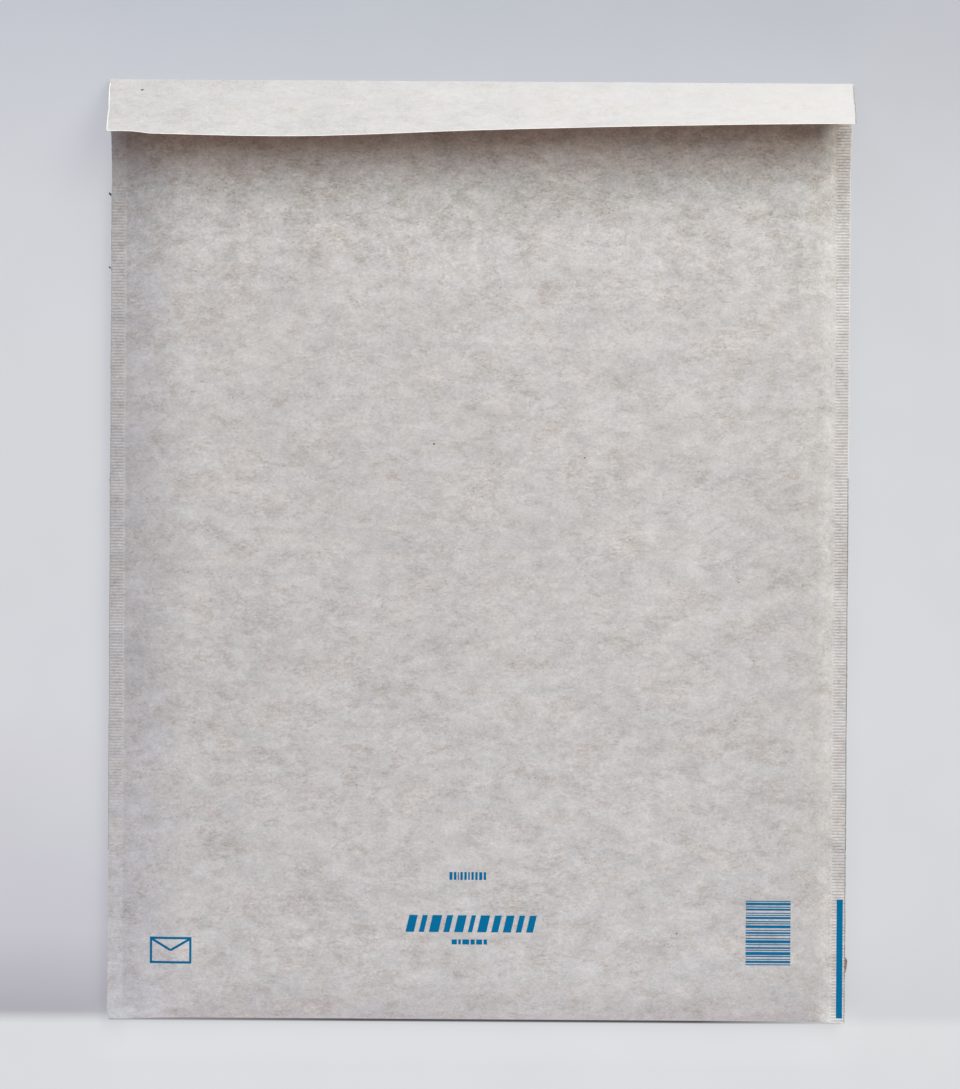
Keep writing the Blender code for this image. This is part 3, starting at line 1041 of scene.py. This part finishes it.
def rib_tone(tree, place, parts, colour, on_body):
    """The colour with the ribs of the two seals painted over it: painted highlight on top, and painted shade
    and a brownish tone in the valleys.
    """
    x, y = parts.outputs[0], parts.outputs[1]
    reach = maths(tree, "ABSOLUTE", x)
    from_inside = ramp(tree, reach, *SEAL_BOUND_IN)
    to_outside = ramp(tree, reach, *SEAL_BOUND_OUT, 1.0, 0.0)
    at_left = product(tree, *[
        ramp(tree, y, none * 1000, full * 1000, RIB_LEFT_LEAST, 1.0) for none, full in RIB_LEFT_ENDS
    ])
    strength = maths(tree, "MULTIPLY_ADD", ramp(tree, x, -1.0, 1.0), rest(tree, at_left), at_left)
    on_seal = product(tree, from_inside, to_outside, on_body, strength)
    turn = 2 * math.pi / (RIB_PITCH * 1000)
    start = 2 * math.pi * (BOTTOM_Y / RIB_PITCH + 0.25)
    wave = maths(tree, "COSINE", maths(tree, "MULTIPLY_ADD", y, turn, -start))
    # Painted shade in the ribs' valleys and painted highlight on their tops
    ribbed = toned(tree, colour, ramp(tree, wave, -1.0, 1.0, *RIB_SHADE_AND_HIGHLIGHT))
    patch = noise(tree, scaled(tree, place, RIB_PATCH_RUN), *RIB_PATCH_NOISE)
    brown = product(
        tree,
        ramp(tree, wave, *RIB_VALLEY),
        ramp(tree, patch, *RIB_PATCH_SPAN),
        ramp(tree, x, -1.0, 1.0, RIB_BROWN_LEFT, 1.0),
    )
    return mixed(tree, on_seal, colour, mixed(tree, brown, ribbed, RIB_BROWN))


def painted_light_tone(tree, parts, on_body):
    """The painted light and shade on the body, by place, as a factor."""
    total = 0.0
    for axis, start, end, change, other_start, other_end, share in PAINTED_LIGHT_PATCHES:
        along = ramp(tree, parts.outputs[axis], start, end, 0.0, change)
        across = ramp(tree, parts.outputs[1 - axis], other_start, other_end, share, 1.0)
        total = maths(tree, "MULTIPLY_ADD", along, across, total)
    return maths(tree, "MULTIPLY_ADD", total, on_body, 1.0)


def paper_colour(tree, place):
    """Colour of recycled paper: a cool grey ground, warm fibrous clouds, fine grain and brown specks, with
    painted light and shade on the flap, the body, the ribs and the cut edges.
    """
    parts = add_node(tree, "ShaderNodeSeparateXYZ", {0: place})
    x, y = parts.outputs[0], parts.outputs[1]
    on_flap = flap_share(tree, parts)
    on_body = rest(tree, on_flap)
    # Painted light washes out the clouds on the flap, more towards the right
    calm = product(tree, on_flap, ramp(tree, x, *FLAP_SPAN_X, *FLAP_CALM))
    in_shade = ramp(tree, y, *SHADE_SPAN_Y, 1.0, SHADE_LOUD)
    in_shade = maths(tree, "SUBTRACT", in_shade, product(tree, on_flap, SHADE_LOUD - 1))
    loud = maths(tree, "SUBTRACT", in_shade, calm)

    # Clouds, specks and dots
    stretched = scaled(tree, place, FIBRE_RUN)
    cloud = noise(tree, stretched, *CLOUD_NOISE)
    thread = noise(tree, scaled(tree, place, THREAD_RUN), *THREAD_NOISE)
    warmth = product(tree, ramp(tree, cloud, *CLOUD_SPAN), ramp(tree, thread, *THREAD_SPAN), loud)
    colour = mixed(tree, warmth, PAPER_COOL, PAPER_WARM)
    cells = add_node(tree, "ShaderNodeTexVoronoi", {"Vector": stretched, "Scale": SPECK_SCALE})
    near = ramp(tree, cells.outputs["Distance"], *SPECK_SPAN)
    chosen = add_node(tree, "ShaderNodeSeparateColor", {0: cells.outputs["Color"]})
    gate = ramp(tree, chosen.outputs[0], *SPECK_CHOICE)
    speck = product(tree, near, gate, ramp(tree, cloud, *SPECK_CLOUD_SPAN))
    dots = ramp(tree, noise(tree, stretched, *DOT_NOISE), *DOT_SPAN)
    dots = product(tree, dots, ramp(tree, cloud, *DOT_CLOUD_SPAN))
    marks = product(tree, maths(tree, "MAXIMUM", speck, dots), loud)
    colour = mixed(tree, marks, colour, PAPER_SPECK)

    # Grain, and painted light and shade by place
    light = 0.0
    for scale, detail, share in GRAIN_SHARES:
        grain = noise(tree, stretched, scale, detail, GRAIN_ROUGHNESS)
        light = maths(tree, "ADD", light, maths(tree, "MULTIPLY_ADD", grain, share, -share / 2))
    light = maths(tree, "MULTIPLY_ADD", light, loud, 1.0)
    # Painted light on the flap, whiter towards the right
    light = maths(tree, "MULTIPLY_ADD", on_flap, ramp(tree, x, *FLAP_SPAN_X, *FLAP_PAINTED_LIGHT), light)
    # Painted light and shade by place on the body
    light = product(tree, light, painted_light_tone(tree, parts, on_body))
    warm = ramp(tree, noise(tree, stretched, *TINT_NOISE), *TINT_SPAN)
    colour = toned(tree, scaled(tree, colour, mixed(tree, warm, TINT_COOL, TINT_WARM)), light)
    colour = mixed(tree, on_flap, colour, FLAP_TINT, "MULTIPLY")
    # Painted cool light on the left shoulder and seal
    on_left = product(tree, ramp(tree, x, *LEFT_SPAN_X), on_body)
    colour = mixed(tree, on_left, colour, LEFT_COOL_LIGHT_TINT, "MULTIPLY")
    # Painted light: the bottom fold tinted less warm
    colour = mixed(tree, ramp(tree, y, *BOTTOM_SPAN_Y), colour, BOTTOM_LIGHT_TINT, "MULTIPLY")
    colour = rib_tone(tree, place, parts, colour, on_body)

    # Cut edges: painted highlight where the light catches them, painted shade where they are in shade
    edge = add_node(tree, "ShaderNodeAttribute", attribute_name="edge").outputs["Fac"]
    colour = mixed(tree, ramp(tree, edge, *EDGE_LIGHT_SPAN), colour, EDGE_LIGHT)
    ragged = ramp(tree, noise(tree, place, *EDGE_NOISE), *EDGE_NOISE_SPAN)
    return mixed(tree, product(tree, ramp(tree, edge, *EDGE_DARK_SPAN), ragged), colour, EDGE_DARK)


# Fine and soft relief of the paper, and how its roughness goes with the fine one
FINE_RUN = (0.6, 1.0, 1.0)
FINE_NOISE = (1.3, 3.0, 0.65, 0.6)
SOFT_NOISE = (0.16, 2.0, 0.5)
SOFT_SHARE = 2.0
RELIEF_STRENGTH = 0.35
RELIEF_HEIGHT = 0.00006
ROUGHNESS_SPAN = (0.3, 0.7, 0.72, 0.84)


def paper_material():
    material, tree, shader, place = new_material("paper", 0.78, Specular_IOR_Level=0.35)
    tree.links.new(paper_colour(tree, place), shader.inputs["Base Color"])
    fine = noise(tree, scaled(tree, place, FINE_RUN), *FINE_NOISE)
    soft = noise(tree, place, *SOFT_NOISE)
    height = maths(tree, "ADD", fine, product(tree, soft, SOFT_SHARE))
    bumped(tree, shader, height, RELIEF_STRENGTH, RELIEF_HEIGHT)
    tree.links.new(ramp(tree, fine, *ROUGHNESS_SPAN), shader.inputs["Roughness"])
    return material


INK_BLUE = (0.0005, 0.142, 0.305)
INK_WORN = (0.004, 0.170, 0.340)
INK_NOISE = (1.4, 3.0, 0.7, 0.5)
INK_SPAN = (0.45, 0.75)
INK_SLOW_NOISE = (0.2, 1.0)
INK_SLOW_SPAN = (0.3, 0.7, 0.3, 1.0)


def ink_material():
    material, tree, shader, place = new_material("ink", 0.85, Specular_IOR_Level=0.05)
    patchy = noise(tree, place, *INK_NOISE)
    slow = noise(tree, place, *INK_SLOW_NOISE)
    wear = product(tree, ramp(tree, patchy, *INK_SPAN), ramp(tree, slow, *INK_SLOW_SPAN))
    tree.links.new(mixed(tree, wear, INK_BLUE, INK_WORN), shader.inputs["Base Color"])
    bumped(tree, shader, patchy, 0.2, 0.00004)
    return material


def speckled_material(name, dark, light, scale, roughness, bump, alpha=1.0):
    """A small or thin surface: two near tones in fine noise, and a fine bump."""
    material, tree, shader, place = new_material(name, roughness, Alpha=alpha)
    tone = noise(tree, place, scale, 3.0, 0.6, 0.4)
    tree.links.new(mixed(tree, ramp(tree, tone, 0.3, 0.7), dark, light), shader.inputs["Base Color"])
    bumped(tree, shader, tone, 0.3, bump)
    return material


sheet = paper_sheet(paper_material())
lining = bubble_lining(
    speckled_material("film", (0.74, 0.77, 0.79), (0.84, 0.87, 0.88), 0.3, 0.16, 0.0001, alpha=0.42)
)
adhesive_depth = PAPER + STRIP_GAP
adhesive = flap_strip(
    "adhesive_band",
    ADHESIVE_WIDTH,
    ADHESIVE_TIP_MARGIN,
    ADHESIVE_END_MARGIN,
    adhesive_depth,
    speckled_material("adhesive", (0.70, 0.63, 0.44), (0.80, 0.74, 0.56), 0.5, 0.28, 0.0001, alpha=0.85),
)
liner = flap_strip(
    "release_paper",
    LINER_WIDTH,
    LINER_TIP_MARGIN,
    LINER_END_MARGIN,
    adhesive_depth + STRIP_THICKNESS + STRIP_GAP,
    speckled_material("silicone_paper", (0.52, 0.385, 0.255), (0.60, 0.46, 0.32), 0.25, 0.34, 0.00008),
)
ink = printed_fields(ink_material())
tags = edge_tags("edge_tags", TAGS, sheet.data.materials[0])
kraft = speckled_material("kraft", (0.10, 0.075, 0.06), (0.36, 0.28, 0.21), 1.2, 0.8, 0.00006)
bark = speckled_material("bark", (0.05, 0.04, 0.035), (0.10, 0.08, 0.07), 2.0, 0.8, 0.00004)
flake = edge_tags("torn_flake", FLAKES, kraft)
nicks = edge_tags("nicks", NICKS, bark)
dots = specks(bark)

for piece, node, slot in (
    (sheet, "paper_envelope", "recycled_paper"),
    (lining, "bubble_lining", "bubble_film"),
    (adhesive, "adhesive_strip", "adhesive"),
    (liner, "release_liner", "release_paper"),
):
    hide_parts(node)
for piece in (sheet, lining, adhesive, liner, ink, tags, flake, nicks, dots):
    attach(piece, "root")


# Floor: a pale table that glows a little, so that shadows on it stay soft. Its tones are painted
# shade, darker towards its far end and at the left beside the bottom fold. A stop is y in millimetres,
# and the tones there at the left and the right end of FLOOR_SPAN_X
FLOOR_SIZE = 8.0
FLOOR_SPAN_X = (-205.0, 205.0)
FLOOR_SPAN_Y = (-262.0, 270.0)
FLOOR_RISE = 0.00002
FLOOR_GLOW = 0.75
FLOOR_GLOW_LEVEL = 1.03
FLOOR_STOPS = (
    (-262.0, (0.690, 0.703, 0.725), (0.675, 0.690, 0.706)),
    (-236.5, (0.690, 0.703, 0.725), (0.690, 0.703, 0.715)),
    (-230.5, (0.418, 0.406, 0.446), (0.620, 0.627, 0.647)),
    (-190.0, (0.560, 0.552, 0.610), (0.640, 0.652, 0.672)),
    (-80.0, (0.648, 0.655, 0.690), (0.650, 0.668, 0.690)),
    (75.0, (0.650, 0.660, 0.690), (0.625, 0.643, 0.670)),
    (175.0, (0.625, 0.636, 0.678), (0.585, 0.600, 0.634)),
    (270.0, (0.530, 0.550, 0.602), (0.495, 0.512, 0.552)),
)
FLOOR_PLAIN = (0.630, 0.645, 0.672)
FLOOR_FADE_X = (245.0, 330.0)
FLOOR_FADE_Y = (275.0, 420.0)
FLOOR_NOISE = (0.02, 2.0)
FLOOR_NOISE_SPAN = (0.3, 0.7, 0.99, 1.01)

# The thin painted contact shadow on the floor under the bottom fold, in millimetres:
# (axis, from, to, share at from, share at to)
CONTACT_SHADOW_RAMPS = (
    (1, -235.4, -234.7, 0.0, 0.86),
    (1, -230.0, -225.0, 1.0, 0.0),
    (0, -183.6, -182.6, 0.0, 1.0),
    (0, -178.0, -60.0, 0.55, 1.0),
    (0, 110.0, 172.0, 1.0, 0.25),
    (0, 182.6, 183.6, 1.0, 0.0),
)

# Painted light on the floor just in front of the bottom fold
BOUNCE_RAMPS = (
    (1, -258.0, -240.0, 0.0, 0.10),
    (1, -230.0, -225.0, 1.0, 0.0),
    (0, -196.0, -172.0, 0.0, 1.0),
    (0, 172.0, 196.0, 1.0, 0.0),
)


def ramps_share(tree, parts, ramps):
    """The product of these ramps at a place on the floor."""
    share = 1.0
    for axis, start, end, at_start, at_end in ramps:
        share = product(tree, share, ramp(tree, parts.outputs[axis], start, end, at_start, at_end))
    return share


def stops_ramp(tree, share, colours):
    """A ramp of the floor's colours at its stops along Y."""
    made = add_node(tree, "ShaderNodeValToRGB", {0: share})
    low, high = FLOOR_SPAN_Y
    elements = made.color_ramp.elements
    elements.remove(elements[1])
    for n, ((y, *_), colour) in enumerate(zip(FLOOR_STOPS, colours)):
        place = (y - low) / (high - low)
        if n:
            elements.new(place)
        elements[n].position = place
        elements[n].color = (*colour, 1.0)
    return made.outputs[0]


def floor_material():
    """A pale floor with painted shade, darker towards its far end and beside the bottom fold."""
    material, tree, shader, place = new_material("floor", 0.9, Specular_IOR_Level=0.2)
    parts = add_node(tree, "ShaderNodeSeparateXYZ", {0: place})
    across = ramp(tree, parts.outputs[0], *FLOOR_SPAN_X)
    along = ramp(tree, parts.outputs[1], *FLOOR_SPAN_Y)
    left = stops_ramp(tree, along, [stop[1] for stop in FLOOR_STOPS])
    right = stops_ramp(tree, along, [stop[2] for stop in FLOOR_STOPS])
    tone = ramp(tree, noise(tree, place, *FLOOR_NOISE), *FLOOR_NOISE_SPAN)
    # Painted light in front of the bottom fold and painted contact shadow under it
    bounce = maths(tree, "ADD", 1.0, ramps_share(tree, parts, BOUNCE_RAMPS))
    tone = product(tree, tone, rest(tree, ramps_share(tree, parts, CONTACT_SHADOW_RAMPS)), bounce)
    beside = ramp(tree, maths(tree, "ABSOLUTE", parts.outputs[0]), *FLOOR_FADE_X)
    beyond = ramp(tree, maths(tree, "ABSOLUTE", parts.outputs[1]), *FLOOR_FADE_Y)
    framed = mixed(tree, across, left, right)
    faded = mixed(tree, maths(tree, "MAXIMUM", beside, beyond), framed, FLOOR_PLAIN)
    colour = toned(tree, faded, tone)
    tree.links.new(toned(tree, colour, 1 - FLOOR_GLOW), shader.inputs["Base Color"])
    tree.links.new(colour, shader.inputs["Emission Color"])
    shader.inputs["Emission Strength"].default_value = FLOOR_GLOW * FLOOR_GLOW_LEVEL
    return material


bpy.ops.mesh.primitive_plane_add(size=FLOOR_SIZE, location=(0, 0, FLOOR_RISE))
floor = bpy.context.object
floor.name = "floor"
floor.data.materials.append(floor_material())


# Camera at the photo's angle: almost straight down, tilted and turned a little
CAMERA_DISTANCE = 4.2
CAMERA_TILT = math.radians(1.11)
CAMERA_ROLL = math.radians(0.38)
CAMERA_TARGET = Vector((0.0006, 0.0033, 0.0))
CAMERA_FOCAL = 278.37
CAMERA_FRAME = 36.0

back_axis = Vector((0, math.sin(CAMERA_TILT), math.cos(CAMERA_TILT)))
level_up = Vector((0, math.cos(CAMERA_TILT), -math.sin(CAMERA_TILT)))
level_right = Vector((1, 0, 0))
right_axis = math.cos(CAMERA_ROLL) * level_right + math.sin(CAMERA_ROLL) * level_up
up_axis = math.cos(CAMERA_ROLL) * level_up - math.sin(CAMERA_ROLL) * level_right
eye = CAMERA_TARGET + CAMERA_DISTANCE * back_axis
camera = bpy.data.objects.new("camera", bpy.data.cameras.new("camera"))
camera.data.sensor_fit = "VERTICAL"
camera.data.sensor_height = CAMERA_FRAME
camera.data.lens = CAMERA_FOCAL
camera.matrix_world = Matrix((
    (right_axis.x, up_axis.x, back_axis.x, eye.x),
    (right_axis.y, up_axis.y, back_axis.y, eye.y),
    (right_axis.z, up_axis.z, back_axis.z, eye.z),
    (0, 0, 0, 1),
))
bpy.context.scene.collection.objects.link(camera)
bpy.context.scene.camera = camera
bpy.context.scene.view_settings.view_transform = "Standard"


# Lights: place, the point aimed at, width, height, watts and colour of each
LIGHTS = (
    ("top low", (0.0, 1.732, 1.0), (0, 0, 0), 2.0, 0.5, 16.2, (0.99, 0.94, 1.0)),
    ("top", (0.0, 1.414, 1.414), (0, 0, 0), 2.0, 0.5, 9.2, (0.77, 0.92, 1.0)),
    ("top high", (0.0, 1.0, 1.732), (0, 0, 0), 2.0, 0.5, 1.9, (0.0, 0.1, 1.0)),
    ("right low", (1.053, 1.255, 1.147), (0, 0, 0), 1.0, 1.0, 16.4, (0.99, 1.0, 0.88)),
    ("right high", (0.643, 0.766, 1.732), (0, 0, 0), 1.0, 1.0, 15.3, (1.0, 1.0, 0.89)),
    ("bottom near", (0.0, -0.75, 0.40), (0, -0.2, 0), 0.9, 0.3, 3.35, (0.58, 0.79, 1.0)),
    ("warm return", (0.0, -1.813, 0.845), (0, 0, 0), 2.0, 0.5, 11.4, (1.0, 0.33, 0.0)),
)


def soft_light(name, place, aim, wide, tall, power, colour):
    """A rectangular light, wide across its beam and tall along its height."""
    lamp = bpy.data.lights.new(name, "AREA")
    lamp.shape = "RECTANGLE"
    lamp.size = wide
    lamp.size_y = tall
    lamp.energy = power
    lamp.color = colour
    light = bpy.data.objects.new(name, lamp)
    light.location = place
    light.rotation_euler = (Vector(place) - Vector(aim)).to_track_quat("Z", "Y").to_euler()
    bpy.context.scene.collection.objects.link(light)


for light in LIGHTS:
    soft_light(*light)

# No light comes from the world itself
world = bpy.data.worlds.new("world")
world.use_nodes = True
world.node_tree.nodes["Background"].inputs["Strength"].default_value = 0.0
bpy.context.scene.world = world
